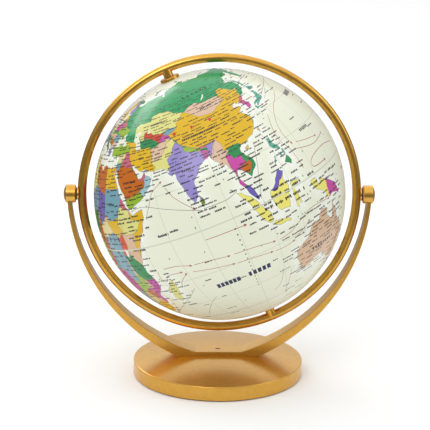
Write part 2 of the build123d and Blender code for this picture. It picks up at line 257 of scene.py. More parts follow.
        (-120.6, 34.6), (-124.3, 40.4), (-124.6, 47), (-123, 49), (-128, 51.5), (-133.5, 56), (-139.5, 59.6),
        (-147, 60.8), (-152, 59), (-158, 56.5), (-164.5, 54.6), (-158, 58.5), (-162, 59), (-165.5, 61.5),
        (-161, 64), (-166, 64.4)]),
    "south_america": ("pale_yellow", [
        (-77.3, 8.5), (-75, 10.8), (-71.5, 12.2), (-68, 11), (-61.8, 10.7), (-57, 6), (-51.5, 4.3), (-50, 0),
        (-44, -2.5), (-39, -3), (-35, -6), (-35, -9), (-39, -13), (-39, -18), (-42, -23), (-48.5, -26),
        (-49, -29), (-53.5, -33.8), (-58, -34.5), (-57, -38), (-62, -39), (-65, -41), (-67.5, -46),
        (-66, -48), (-69, -51), (-65.5, -54.8), (-72, -54), (-75.5, -50), (-74, -43), (-73.5, -37),
        (-71.5, -30), (-70.3, -18.5), (-76.2, -14), (-81.3, -5), (-80, -2.5), (-80, 1), (-77.5, 4),
        (-77.9, 7.3)]),
    "cuba": ("magenta", [
        (-85, 21.9), (-82, 23.1), (-77, 21.6), (-74.2, 20.2), (-77.7, 19.8), (-78, 20.7), (-83, 22)]),
    "hispaniola": ("leaf_green", [(-74.4, 18.5), (-72, 19.9), (-68.4, 18.6), (-71.5, 17.8)]),
    "baffin": ("rose", [
        (-88, 71), (-80, 73.5), (-72, 71.5), (-62, 67), (-65, 62.5), (-72, 64.5), (-73.5, 67.5), (-80, 70)]),
    "victoria": ("rose", [(-118, 71.5), (-106, 73), (-102, 69.5), (-115, 69)]),
    "ellesmere": ("rose", [(-90, 80.5), (-62, 82.8), (-75, 78), (-88, 76.5)]),
    "newfoundland": ("rose", [(-59.3, 47.8), (-55.6, 51.5), (-53, 47), (-56, 46.9)]),
    "antarctica": ("ice", [
        (0, -70), (20, -70), (35, -68.5), (55, -66.5), (70, -68), (80, -67), (100, -66), (115, -66.5),
        (135, -66), (150, -68.5), (165, -71), (165, -77.8), (180, -78.3), (200, -78), (210, -76), (225, -74.5),
        (250, -74.5), (260, -72.5), (280, -73), (292, -70), (294, -66), (302, -63.5), (299, -68), (298, -74),
        (315, -78), (325, -78), (340, -73.5), (350, -71)]),
}

lakes = {
    "black_sea": [
        (28, 41.5), (31.5, 41.3), (35, 42), (38.5, 41), (41.5, 41.6), (39, 44), (37, 45.4), (39, 47.2),
        (35, 46.3), (33.6, 44.5), (32.5, 46), (30.7, 46.3), (28.8, 44.5), (27.7, 42.5)],
    "caspian": [
        (47.5, 45.5), (51, 47), (53, 46.6), (53, 45.2), (50.7, 44.5), (52.5, 42), (53.6, 40), (53.8, 37),
        (50.5, 37), (49, 38.3), (50, 40.3), (48, 42.5)],
    "aral": [(59, 45.5), (61.5, 46.3), (61, 44), (58.7, 44)],
    "baikal": [(104, 51.5), (106.4, 52), (110, 55.7), (109.2, 55.6), (105.6, 52.7)],
    "victoria_lake": [(32, 0.3), (34, 0), (33.2, -2.5), (31.8, -2)],
    "superior": [(-92, 46.8), (-88, 48.8), (-84.8, 46.6), (-88, 46.9)],
    "michigan": [(-87.8, 42), (-87.5, 45), (-85, 46), (-86.3, 42)],
    "huron": [(-84, 46), (-81.2, 45.5), (-81.8, 43.2), (-83.5, 44)],
    "erie": [(-83, 41.8), (-79, 42.8), (-81.5, 41.7)],
    "bear_lake": [(-124, 66), (-119, 67), (-120, 65)],
}

# Countries, drawn over the land and over each other in this order. Only their land borders matter
countries = [
    ("cream", [(4, 56.5), (4, 63), (14, 69.5), (32, 72), (29, 68.5), (20, 68.5), (12, 62), (12, 58.5)]),
    ("gold", [(12, 59), (12.3, 62), (15, 66), (20, 68.9), (23.8, 66), (21, 63), (19, 59), (13, 54.8)]),
    ("lavender", [(21, 69), (29, 69.8), (30, 67), (29.5, 64), (31.5, 62.5), (27.5, 60), (21, 59), (21, 63),
                  (24, 66)]),
    ("orange", [(-11, 44.5), (-1.8, 43.2), (3.2, 42.4), (4, 40), (-5, 35.5), (-11, 36)]),
    ("leaf_green", [(-11, 42), (-6.5, 41.8), (-7, 38), (-7.4, 36), (-11, 36)]),
    ("lavender", [(-2, 43.3), (3.2, 42.4), (7.6, 43.6), (6, 46.2), (8, 49), (2.5, 51.2), (-6, 49.5)]),
    ("pale_yellow", [(6, 51), (6.2, 49.2), (8, 47.6), (13, 47.7), (12.2, 50.2), (15, 51), (14.3, 54.5),
                     (8, 55)]),
    ("leaf_green", [(7.5, 43.8), (7, 45.8), (13.5, 46.5), (14, 45), (19.5, 40), (15, 36)]),
    ("magenta", [(14.3, 54.5), (14.8, 50.8), (22.7, 49), (24, 52), (23, 54.4), (19, 55)]),
    ("peach", [(9.5, 47), (16, 48.8), (22.5, 48.5), (22, 46), (16, 45.8)]),
    ("lime", [(24, 51.5), (32, 52), (40, 49.6), (38, 47), (30, 45), (28, 48.3), (22.3, 48.5)]),
    ("rose", [(23.5, 54), (28, 56.2), (32.5, 53), (31, 51.8), (23.6, 51.6)]),
    ("gold", [(20.8, 56), (28, 56), (28.2, 59.8), (22, 60), (20, 57.5)]),
    ("steel_blue", [(20.5, 46), (24, 48), (28, 48), (30, 45), (28.5, 43.8), (22.7, 44)]),
    ("orange", [(13.5, 46.4), (19, 45.8), (22.5, 44), (20.5, 42), (18, 42.5)]),
    ("pink", [(19, 42), (22.8, 44), (28.7, 43.9), (28.3, 41.9), (22.5, 41.2), (20.5, 40)]),
    ("lavender", [(20, 40), (22.8, 41.4), (26.4, 41.6), (26.3, 40.2), (25, 35), (20, 36)]),
    ("lime", [(25.8, 42), (29, 41.4), (36, 42.4), (42, 41.6), (44.6, 39.6), (44.5, 37.3), (42, 37.2),
              (36.5, 36.7), (36, 35.8), (26, 36)]),
    ("gold", [(39, 44), (46.5, 42), (49, 41.8), (50.5, 40), (49, 38), (44.7, 39.6), (43, 41), (40, 42.5)]),
    ("pale_yellow", [(47, 49.8), (47, 46), (51, 44), (53.5, 41.6), (56, 41.4), (58.5, 45.6), (62, 43.5),
                     (66, 42), (70, 42), (75, 43), (80.2, 42.3), (80.4, 45), (82.6, 45.4), (85.6, 48.4),
                     (87.3, 49.2), (83.5, 51), (80, 50.9), (76.8, 54.3), (71, 54.2), (68, 55.2), (61.5, 53.9),
                     (61, 51), (55, 51), (51, 51.6)]),
    ("red_orange", [(56, 41.4), (56, 45), (58.5, 45.6), (62, 43.6), (66.5, 42), (71, 42), (73, 40.9),
                    (70.5, 40), (68, 39), (68, 37), (66.5, 37.4), (62, 40.5)]),
    ("leaf_green", [(52.5, 41.8), (56, 41.4), (57, 42.2), (61.6, 41.2), (66.6, 37.5), (64.5, 36.2),
                    (61.2, 35.3), (60, 37), (54, 37.2), (52, 39)]),
    ("steel_blue", [(70.8, 42.2), (74, 43.2), (80.3, 42.3), (76, 40.2), (73.6, 39.4), (70.5, 39.8)]),
    ("magenta", [(67.6, 39.5), (71, 40.3), (73.8, 39.5), (75, 37.4), (71.4, 37.8), (68, 37)]),
    ("pink", [(61, 35.5), (64.6, 36.3), (68, 37.1), (71.5, 37.9), (74.8, 37.2), (71.4, 36), (70, 33.2),
              (66.3, 29.9), (61, 29.4)]),
    ("pale_yellow", [(61, 29.4), (66.3, 29.9), (70, 33.2), (71.4, 36.2), (75.8, 36.8), (77, 35), (74.5, 32.5),
                     (74, 30), (70.5, 28), (71, 24.4), (68, 23), (61.5, 24)]),
    ("gold", [(44.5, 39.7), (48, 39.2), (50, 37), (54, 37.4), (60, 37), (61.2, 35.3), (61, 29.4),
              (63, 27), (61.5, 24.6), (50, 26), (48.5, 29.9), (46, 33), (44.6, 37)]),
    ("rose", [(42, 37.2), (44.6, 37.2), (46, 33), (48.6, 29.9), (46.6, 29.2), (39, 32), (41, 34.4)]),
    ("cream", [(36, 36), (36.6, 36.8), (42.2, 37.2), (41, 34.4), (38.8, 33.3), (36, 32.6), (35.5, 34)]),
    ("steel_blue", [(34.2, 31.5), (36, 32.7), (39, 32.1), (37, 30), (34.8, 29.3)]),
    ("orange", [(34.5, 29.3), (37, 30), (39, 32), (46.6, 29.2), (48.6, 28.4), (52, 24), (55.2, 22.7),
                (55, 20), (51.8, 18.9), (46, 17.2), (42.6, 16.6), (38, 20), (33, 27)]),
    ("lime", [(42, 16.5), (46, 17.3), (51.8, 19), (53.2, 16.8), (52, 13), (43, 12)]),
    ("pale_blue", [(51.8, 19), (55, 20), (55.2, 22.8), (56.2, 24.3), (57, 27), (61, 23), (56, 16), (53, 16)]),
    ("rose", [(51.5, 24.5), (52.5, 23), (55.2, 22.8), (56.2, 24.2), (56.4, 26)]),
    ("lavender", [(68, 23), (71, 24.4), (70.5, 28), (74, 30), (74.5, 32.6), (77, 35.2), (79, 32.5), (81, 30.1),
                  (88.2, 27.8), (89, 25), (92, 25), (92, 28), (97.2, 28.2), (95, 26), (93.2, 22), (91, 22.8),
                  (89, 21), (80, 8), (76, 7), (70, 18)]),
    ("lime", [(80.2, 30.3), (82, 30.3), (88.2, 28), (88, 26.4), (84, 27.2), (80.2, 28.9)]),
    ("rose", [(89, 28.2), (92, 28), (92, 26.8), (88.9, 26.9)]),
    ("magenta", [(88.3, 26.4), (92.4, 25.2), (91.4, 23.5), (92.6, 20.8), (89, 20.5), (88.5, 24)]),
    ("pink", [(93.2, 24), (95, 26.6), (97.5, 28.4), (98.7, 25.8), (99, 22), (101.2, 21.5), (98, 19.5),
              (98.8, 15), (99.4, 10), (92, 16), (92.2, 21)]),
    ("gold", [(73.6, 39.4), (80.3, 42.3), (80.4, 45), (82.6, 45.4), (85.6, 48.4), (87.8, 49.1), (91, 47),
              (96.4, 42.8), (105, 41.6), (112, 43.8), (119.8, 46.7), (116, 47.8), (117.8, 49.5), (120.8, 53.2),
              (125.6, 53), (130.8, 47.8), (134.8, 48.4), (131.2, 45), (130.6, 42.6), (128, 42), (124.2, 39.8),
              (122, 38), (124, 32), (117, 22), (108, 21.2), (106.6, 22.6), (102.2, 22.5), (99, 22),
              (98.7, 25.8), (97.5, 28.4), (92, 27.9), (88.2, 28), (82, 30.3), (79, 32.6), (77.6, 35.5),
              (75, 37.3)]),
    ("pink", [(87.8, 49.1), (92, 50.7), (98.2, 52), (102.2, 50.5), (107, 49.8), (114, 50.2), (117, 49.6),
              (116, 47.8), (119.8, 46.7), (112, 43.8), (105, 41.6), (96.4, 42.8), (91, 47)]),
    ("rose", [(124.2, 39.9), (128, 42), (130.8, 42.5), (128.5, 38.5), (124.6, 38)]),
    ("magenta", [(124.8, 38), (128.7, 38.6), (130.5, 36), (128, 34), (125, 34)]),
    ("magenta", [(98, 19.6), (100.4, 20.3), (101.5, 17.6), (104.8, 17.4), (105.5, 14.4), (102.5, 13.6),
                 (102, 11.8), (100.4, 6.4), (98, 7), (99.2, 11), (98.4, 15)]),
    ("leaf_green", [(100.2, 20.4), (102.2, 22.4), (107, 22.6), (109, 21), (107, 17), (109.8, 13), (107, 9.8),
                    (104.6, 8.4), (106.4, 11.2), (107.6, 14.2), (104.8, 17.4), (101.5, 17.6)]),
    ("orange", [(102.4, 13.8), (105.5, 14.4), (107.6, 14.2), (107.4, 12.2), (105, 10.4), (102.6, 11)]),
    ("violet", [(99.8, 6.5), (102.4, 6.4), (104.4, 2.6), (103.8, 0.9), (101, 2)]),
    ("violet", [(109.2, 2.2), (113, 1.2), (115.6, 3), (118, 4.2), (119.6, 5.4), (116, 7.8), (111, 4)]),
    ("lemon", [(130, 0.5), (141, -1.5), (141, -10), (130, -7)]),
    ("gold", [(25, 31.9), (34.6, 31.9), (34.6, 28), (37.2, 22), (25, 22)]),
    ("orange", [(9.5, 30.4), (11.5, 33.4), (25, 33.4), (25, 20), (24, 19.5), (15, 23), (11.5, 24.3)]),
    ("cream", [(8.4, 37.8), (11.7, 37.6), (11.5, 33), (9.3, 30.2), (7.6, 33.5)]),
    ("pale_yellow", [(-2, 35.4), (8.4, 37.8), (7.6, 33.5), (9.4, 30.2), (11.8, 23.6), (3, 19), (-8.6, 27.4),
                     (-2, 32)]),
    ("rose", [(-2, 35.4), (-2, 32), (-8.6, 28.7), (-13.2, 27.7), (-14, 30), (-6, 36.3)]),
    ("lime", [(-8.6, 27.4), (-4.8, 25), (-5.6, 15.5), (-12, 14.8), (-17.6, 16.2), (-17.5, 21.2), (-13, 24)]),
    ("magenta", [(-4.8, 25), (3, 19.2), (4.2, 16.4), (-3, 13.8), (-5.5, 10.4), (-11.4, 12.4), (-12, 15),
                 (-5.6, 15.5)]),
    ("steel_blue", [(3, 19.2), (11.8, 23.6), (15, 23), (15.6, 17), (13.5, 13.6), (3.6, 11.7), (0.3, 14.8),
                    (4.2, 16.4)]),
    ("violet", [(15, 23), (24, 19.5), (24, 15.5), (22, 10.8), (15.5, 7.5), (13.6, 13.6), (15.6, 17)]),
    ("steel_blue", [(24, 20), (25, 22), (37.2, 22), (38.6, 18), (36.2, 14.2), (34, 10.5), (27, 9.5),
                    (22.5, 12.6), (24, 15.8)]),
    ("gold", [(24, 9), (27, 9.5), (34, 10.5), (36, 5.4), (31, 3.6), (26.5, 5.4)]),
    ("rose", [(36.4, 14.4), (38.6, 18), (43.4, 12.8), (42, 12.4)]),
    ("pale_yellow", [(34, 10.5), (36.4, 14.4), (42, 12.6), (42.8, 9.2), (48, 8), (45, 5), (41.8, 4), (36, 4.4),
                     (33.2, 8)]),
    ("gold", [(42.8, 11.5), (51.8, 12.4), (51.6, 9), (41.8, -2.4), (41, 0), (41.8, 4), (45, 5), (48, 8),
              (43, 9.2)]),
    ("peach", [(34, 4.4), (36, 4.4), (41.8, 4), (41, -1), (41.6, -2.4), (39.4, -5), (34, -1)]),
    ("red_orange", [(29.6, -1), (31, 3.6), (34, 4.4), (35, 1), (34, -1)]),
    ("magenta", [(-16.8, 12.4), (-17.8, 15), (-12, 15), (-11.4, 12.4)]),
    ("gold", [(-15.2, 11), (-11.4, 12.5), (-8, 10.4), (-8.4, 7.6), (-11, 4), (-14, 8)]),
    ("leaf_green", [(-8.4, 7.6), (-8, 10.4), (-5.5, 10.4), (-2.8, 9.6), (-3, 4.6), (-8, 4)]),
    ("orange", [(-5.5, 10.4), (-3, 13.8), (0.3, 15), (2.4, 12), (0, 11)]),
    ("lavender", [(-2.8, 9.8), (0, 11), (1.4, 5.6), (-3, 4.6)]),
    ("leaf_green", [(2.7, 6), (3.6, 11.8), (13.6, 13.6), (12, 7.4), (8.6, 4.4), (5, 4)]),
    ("orange", [(8.6, 4.4), (12, 7.4), (14, 11), (15.2, 7.4), (16.2, 2), (9.6, 2)]),
    ("cream", [(15.4, 7.5), (22.5, 10.8), (27.4, 5.2), (18.6, 3.8), (16, 2.2)]),
    ("lime", [(9, 2.2), (13.2, 2.2), (14.4, -2), (11, -4.5), (8, -1)]),
    ("rose", [(13.2, 2.2), (18.6, 3.8), (16, -4.8), (11.5, -5), (14.4, -2)]),
    ("steel_blue", [(12, -6), (16, -4.8), (18.6, 3.8), (27.4, 5.2), (31, 3.6), (29.6, -1), (29.3, -6),
                    (28.6, -12), (24, -11), (22, -7)]),
    ("leaf_green", [(29.6, -1), (34, -1), (39.4, -5), (40.8, -10.6), (34.6, -11.6), (30.6, -8.4)]),
    ("magenta", [(11, -5.9), (17, -7), (22, -7.2), (24, -11), (22, -17.6), (11, -17.4)]),
    ("lime", [(24, -11), (28.6, -12.4), (29, -9), (33, -9.6), (33, -14), (27.6, -17.8), (22, -17.6)]),
    ("magenta", [(34.6, -11.6), (41.6, -10.4), (42, -16), (36, -27), (31.8, -26), (33, -17), (30.4, -15.6),
                 (35.6, -15.6)]),
    ("orange", [(25.2, -17.8), (30.4, -15.6), (33, -18), (32, -22.3), (29, -22.2)]),
    ("cream", [(20, -22), (21, -18), (25.2, -17.8), (29, -22.2), (26, -25.6), (20.6, -26.8)]),
    ("steel_blue", [(11, -17.4), (22, -17.8), (20, -22), (20, -28.4), (15, -29)]),
    ("gold", [(15, -29), (20, -28.4), (20.6, -26.8), (26, -25.6), (31.8, -22.3), (32.6, -27), (34, -28),
              (26, -36), (16, -36)]),
    ("leaf_green", [(-170, 60), (-170, 72), (-141, 71), (-141, 60.3), (-130.5, 55.5), (-140, 57), (-160, 52)]),
    ("gold", [(-125.5, 49), (-95, 49), (-88, 48.2), (-82.5, 45.5), (-83, 42), (-79, 43), (-75, 45), (-69, 47.4),
              (-66.5, 45), (-66, 42), (-78, 24), (-97, 25.9), (-101, 29.6), (-106.5, 31.8), (-111, 31.4),
              (-118, 32.4), (-127, 40)]),
    ("leaf_green", [(-118, 32.5), (-111, 31.4), (-106.5, 31.8), (-101, 29.6), (-97, 25.9), (-88, 22.5),
                    (-87, 19), (-91, 17.4), (-92.2, 14.4), (-105, 17), (-118, 27)]),
    ("lavender", [(-92.4, 14.2), (-91, 17.6), (-87.5, 16.4), (-83, 15.8), (-83, 13), (-88, 12.6)]),
    ("orange", [(-88, 12.8), (-83, 15.2), (-82.8, 11), (-77, 9.5), (-77.5, 7), (-84, 7.5)]),
    ("magenta", [(-77.6, 8.8), (-72, 13), (-72, 9), (-70, 6.6), (-67.4, 6), (-67.6, 2), (-70, 1), (-70, -4.2),
                 (-75, 0), (-80, 1), (-79, 5)]),
    ("leaf_green", [(-72, 12.6), (-60, 11), (-60, 8), (-62, 4), (-64.5, 1.2), (-67.4, 2), (-67.4, 6), (-70, 6.8),
                    (-72.4, 9)]),
    ("orange", [(-60, 8.5), (-51.4, 5), (-52, 2.2), (-59, 1.4), (-62, 4)]),
    ("lime", [(-81, 1.4), (-77, 0.6), (-75, -0.2), (-78.4, -4), (-81, -3.6)]),
    ("gold", [(-81.6, -3.6), (-78.4, -4.2), (-75, -0.4), (-70, -4.2), (-73.6, -7.4), (-70, -11), (-69, -17.4),
              (-71, -19), (-82, -12)]),
    ("lavender", [(-69.6, -11), (-65.4, -9.8), (-60, -14), (-57.8, -18), (-58.4, -20.2), (-62.6, -22),
                  (-67.8, -22.8), (-69.4, -17.4)]),
    ("cream", [(-62.6, -22), (-58.4, -20.2), (-54.4, -24.2), (-56, -27.4), (-58, -25)]),
    ("violet", [(-71, -18.2), (-69, -18), (-68, -23), (-70, -33), (-71.6, -40), (-73, -50), (-68.5, -52.4),
                (-68.5, -56), (-78, -54), (-73, -30)]),
    ("peach", [(-68, -23), (-62.6, -22), (-58, -25), (-56, -27.4), (-54, -25.6), (-53.6, -27.6), (-57.8, -30.4),
               (-58.4, -34), (-50, -40), (-62, -56), (-68.6, -56), (-68.5, -52.4), (-73, -50), (-71.6, -40),
               (-70, -33)]),
    ("rose", [(-57.8, -30.2), (-53.4, -32.6), (-52, -34), (-56, -36), (-59, -34)]),
]

# Ocean currents and sailing lines as (longitude, latitude)
currents = [
    [(52, 8), (55.8, 13), (58.5, 16.8), (63.7, 19.6)],
    [(65.8, 17.2), (68.3, 13.1), (71.9, 9.6), (75.5, 6.8)],
    [(75.4, -2.4), (83, -2.5), (93, -2.7)],
    [(49.8, -7.8), (56.6, -7.9), (63, -9.1)],
    [(65.2, -9.3), (73, -9.7), (81, -10.6)],
    [(84, -10.7), (94, -11.5), (102.6, -12.8)],
    [(106, -13.1), (112, -12.6), (118.4, -10.4), (127, -8.3), (139, -9.3)],
    [(63, -11.9), (71, -13.1), (81.5, -14.5)],
    [(84, -14.8), (92.3, -15.6), (100, -16.6)],
    [(102.5, -17), (107, -17.3), (112.3, -16.8)],
    [(114.5, -15.8), (119, -14.3), (123, -12.6)],
    [(45.6, -8.4), (44.6, -11.8), (46.8, -13.4), (49.4, -11), (56.8, -10.8)],
    [(52.6, -18), (54.4, -15), (58.6, -12.3)],
    [(37, -19), (37.4, -25), (34, -30), (28, -35)],
    [(166, 41), (160, 38.5), (154.8, 34.1), (147, 31), (139.7, 28.4), (133, 23), (130.4, 17), (131.4, 12.5)],
    [(131.7, 27), (127.3, 20.2), (126.8, 14.4), (128.8, 10.6), (130, 4)],
    [(134.3, 11.4), (141, 10.1), (149, 9)],
    [(131.1, 9.6), (139.5, 7.8), (147, 7.2), (156, 8)],
    [(162, 3.4), (151, 4.8), (140.7, 4.3), (136, 2.8), (137.2, 1.2), (146, 1)],
    [(140, 36), (152, 39), (165, 41), (180, 42)],
    [(184, 42), (200, 43), (215, 44), (230, 44)],
    [(235, 40), (239, 32), (243, 25), (238, 18)],
    [(230, 15), (212, 13), (195, 12), (175, 12)],
    [(255, -4), (235, -6), (215, -7), (195, -9)],
    [(190, -9), (175, -12), (160, -16)],
    [(155, -26), (157, -33), (165, -39)],
    [(283, -38), (284, -28), (280, -18), (270, -8)],
    [(200, -50), (225, -51), (250, -52), (275, -54)],
    [(-78, 28), (-75, 34), (-66, 39), (-52, 43), (-38, 47)],
    [(-34, 48), (-24, 52), (-12, 57), (-2, 62), (10, 69)],
    [(-16, 42), (-19, 33), (-22, 24), (-28, 17)],
    [(-32, 15), (-42, 14), (-52, 15), (-60, 16)],
    [(6, -5), (-8, -4), (-22, -4), (-32, -5)],
    [(-34, -12), (-36, -22), (-44, -31), (-50, -38)],
    [(14, -32), (10, -24), (8, -16), (2, -10)],
    [(-45, -44), (-25, -43), (-5, -42), (12, -41)],
    [(25, -45), (45, -45), (65, -46), (85, -47), (105, -47)],
]
sailing_lines = [
    [(97, -40), (101, -37), (103.4, -31.5), (104, -27.5)],
    [(104.3, -46), (106.6, -38.9), (109.1, -31)],
    [(48.8, -41), (58.4, -32.6), (65, -28.2)],
    [(80, 5.4), (90, 5.2), (96, 6.4)],
    [(44, 11.8), (52, 12.6), (65, 9), (79, 5)],
    [(104.5, 1.2), (108, 8), (114, 20)],
    [(18, -36), (30, -34), (50, -25), (57, -20.6)],
    [(151, -34), (165, -36), (172, -37)],
    [(175, -36), (200, -25), (240, -5), (278, 6)],
    [(141, 34), (170, 44), (200, 47), (232, 48)],
    [(204, 21), (220, 28), (237, 37)],
    [(-8, 43), (-30, 45), (-55, 43), (-73, 40)],
    [(-6, 35), (-20, 22), (-32, -5), (-42, -23)],
    [(-9, 38), (-20, 20), (-18, 5), (5, -18), (17, -34)],
]
ridge_dots = [(88.9, -2.6), (88.7, -30.5)]
island_dots = [
    (73.5, 4.2), (73.2, 1), (72.4, -6), (57.6, -20.2), (55.5, -21.1), (63.4, -19.7), (55.5, -4.6), (105.6, -10.5),
    (96.9, -12.1), (92.8, 12), (93.8, 7.5), (70, -49.3), (77.5, -38), (144.8, 13.5), (134.5, 7.4), (158.2, 6.9),
    (178, -17.8), (166.5, -21.5), (168, -16), (159, -8.5), (161, -9.8), (150, -5.6), (152.3, -4.4), (127.8, 1),
    (128.5, -3.2), (126.5, -3.5), (120.5, -8.6), (118, -8.6), (124.5, -9.4), (122, -8.6), (131, -7.8),
    (204.5, 19.6), (202, 21.4), (188, -14), (210.5, -17.6), (250.6, -27.1), (269, -0.8), (-66, 18.2), (-77.3, 18.1),
    (-61, 14.6), (-16, 28.2), (-25.5, 37.8), (-24, 15), (-59, -51.7), (-37, -54.3), (-12, -37), (-5.7, -16),
    (9, 40), (9, 42.2), (14, 37.6), (25, 35.2), (33, 35.1), (12.5, 45), (-7, 62), (148, 45.3), (151, 46.5),
    (154.5, 49.5), (127.7, 26.4), (129.5, 28.3), (54, 12.5), (39.4, -6.2), (43.4, -11.8), (45.2, -12.8),
]

# Words in the open sea and on the largest lands, as strokes: longitude, latitude, half length, strokes, ink
titles = [
    (75.4, -22.5, 6.4, 6, 1.15, "navy"), (92, -22.3, 6.2, 5, 1.15, "navy"),
    (164, 29, 5.5, 5, 1.15, "navy"), (145, 14, 4, 6, 0.6, "letter"), (180, 8, 6, 5, 1.15, "navy"),
    (215, -28, 7, 7, 1.15, "navy"), (232, -28, 6, 5, 1.15, "navy"),
    (-42, 30, 7, 8, 1.15, "navy"), (-26, 30, 6, 5, 1.15, "navy"),
    (-22, -24, 7, 8, 1.15, "navy"), (-6, -24, 6, 5, 1.15, "navy"),
    (105, 59.2, 15, 6, 0.7, "letter"), (133, -26.4, 9.5, 9, 0.7, "letter"), (92, 34.2, 11, 20, 0.5, "letter"),
    (77.7, 39, 1.5, 1, 0.9, "letter_red"), (89, 38.9, 0.9, 1, 0.9, "letter_red"), (101, 38.8, 1.6, 1, 0.9, "letter_red"),
    (104, 46.6, 4.5, 8, 0.45, "letter"), (67, 48.4, 6, 10, 0.45, "letter"), (78.5, 21, 2.4, 5, 0.5, "letter"),
    (45.5, 23.4, 4.4, 9, 0.45, "letter"), (54.5, 32.6, 1.8, 4, 0.45, "letter"), (30, 15.6, 2.6, 5, 0.45, "letter"),
    (-100, 58, 10, 6, 0.7, "letter"), (-100, 40, 14, 12, 0.7, "letter"), (-54, -10, 8, 6, 0.7, "letter"),
    (20, 3, 12, 6, 0.7, "letter"), (-42, 73, 14, 9, 0.6, "letter"), (-102, 24.6, 4, 6, 0.45, "letter"),
    (-66, -36, 4.5, 9, 0.4, "letter"), (4, 27.6, 3.6, 7, 0.4, "letter"), (60, -82, 40, 10, 0.8, "letter"),
    (115, -1.3, 12, 9, 0.45, "letter"),
]
title_height = 2.0
letter_gap = 0.12


# ---------------------------------------------------------------- map geometry

def pressed(latitude):
    """Latitude on the finished globe of a latitude on the flat print."""
    size = abs(latitude)
    shift = press_shift * math.sin(math.pi * (size / 90) ** press_bias)
    return math.copysign(size + shift, latitude)


def direction(longitude, latitude):
    """Unit vector in the globe's own axes, for a longitude and a finished latitude."""
    turn = math.radians(longitude - front_longitude)
    rise = math.radians(latitude)
    return Vector((math.cos(rise) * math.cos(turn), math.cos(rise) * math.sin(turn), math.sin(rise)))


def wiggled(longitude, latitude):
    """A point moved by smooth noise that depends on its place alone, so shared borders agree."""
    place = direction(longitude, latitude)
    for frequency, reach in wiggle_octaves:
        step = noise.noise_vector(place * frequency) * reach
        longitude += step.x / max(math.cos(math.radians(latitude)), 0.15)
        latitude += step.y
    return longitude, latitude


def natural_outline(points):
    """An outline cut into short steps and roughened."""
    outline = []
    for (lon_a, lat_a), (lon_b, lat_b) in zip(points, points[1:] + points[:1]):
        if abs(lon_b - lon_a) > 180:
            lon_b += math.copysign(360, lon_a - lon_b)
        narrow = math.cos(math.radians((lat_a + lat_b) / 2))
        steps = max(1, round(math.hypot((lon_b - lon_a) * narrow, lat_b - lat_a) / coast_step))
        for step in range(steps):
            share = step / steps
            outline.append(wiggled(lon_a + (lon_b - lon_a) * share, lat_a + (lat_b - lat_a) * share))
    return outline


def smooth_line(points, steps):
    """A Catmull-Rom curve through points."""
    ends = [points[0]] + points + [points[-1]]
    line = []
    for before, start, end, after in zip(ends, ends[1:], ends[2:], ends[3:]):
        for step in range(steps):
            t = step / steps
            line.append(tuple(
                0.5 * (2 * b + (c - a) * t + (2 * a - 5 * b + 4 * c - d) * t**2 + (3 * b - a - 3 * c + d) * t**3)
                for a, b, c, d in zip(before, start, end, after)))
    return line + [points[-1]]


def strip(line, width):
    """Thin bars, one along each step of a line of (longitude, latitude)."""
    bars = []
    for (lon_a, lat_a), (lon_b, lat_b) in zip(line, line[1:]):
        if abs(lon_b - lon_a) > 180:
            lon_b += math.copysign(360, lon_a - lon_b)
        narrow = max(math.cos(math.radians((lat_a + lat_b) / 2)), 0.1)
        along = Vector(((lon_b - lon_a) * narrow, lat_b - lat_a)).normalized() * width / 2
        reach = Vector((along.x / narrow, along.y)) * 0.5
        across = Vector((-along.y / narrow, along.x))
        start = Vector((lon_a, lat_a)) - reach
        end = Vector((lon_b, lat_b)) + reach
        bars.append([tuple(start - across), tuple(end - across), tuple(end + across), tuple(start + across)])
    return bars


def dash(longitude, latitude, half_length, half_height):
    """A small bar along a parallel."""
    wide = half_length / max(math.cos(math.radians(latitude)), 0.1)
    return [(longitude - wide, latitude - half_height), (longitude + wide, latitude - half_height),
            (longitude + wide, latitude + half_height), (longitude - wide, latitude + half_height)]


def dot(longitude, latitude, radius, corners=7):
    """A small round spot."""
    narrow = max(math.cos(math.radians(latitude)), 0.1)
    turns = [2 * math.pi * corner / corners for corner in range(corners)]
    return [(longitude + radius * math.cos(turn) / narrow, latitude + radius * math.sin(turn)) for turn in turns]


def word(longitude, latitude, length, height, rng):
    """A row of short strokes that reads as small print from afar and holds no letters."""
    narrow = max(math.cos(math.radians(latitude)), 0.1)
    bars = []
    place = 0.0
    until_space = rng.randint(3, 8)
    while place < length:
        size = rng.uniform(0.32, 0.85)
        tall = height * rng.choice((1.0, 0.8, 0.8))
        base = latitude - (height - tall) / 2
        bars.append(dash(longitude + (place + size / 2) / narrow, base, size / 2, tall / 2))
        place += size + letter_gap
        until_space -= 1
        if not until_space:
            until_space = rng.randint(3, 8)
            place += 3 * letter_gap
    return bars


def inside(longitude, latitude, outline):
    """Even-odd test of a point against an outline in longitude and latitude."""
    hit = False
    for (lon_a, lat_a), (lon_b, lat_b) in zip(outline, outline[1:] + outline[:1]):
        if (lat_a > latitude) != (lat_b > latitude):
            cross = lon_a + (latitude - lat_a) * (lon_b - lon_a) / (lat_b - lat_a)
            if longitude < cross:
                hit = not hit
    return hit


coasts = {name: natural_outline(points) for name, (ink, points) in lands.items()}
coast_tree = kdtree.KDTree(sum(len(outline) for outline in coasts.values()))
for number, point in enumerate(point for outline in coasts.values() for point in outline):
    coast_tree.insert(direction(point[0], pressed(point[1])), number)
coast_tree.balance()


def on_land(longitude, latitude):
    """Whether a place lies inside any coast, whichever turn its longitude is counted in."""
    return any(inside(longitude + turn, latitude, outline)
               for outline in coasts.values() for turn in (-360, 0, 360))


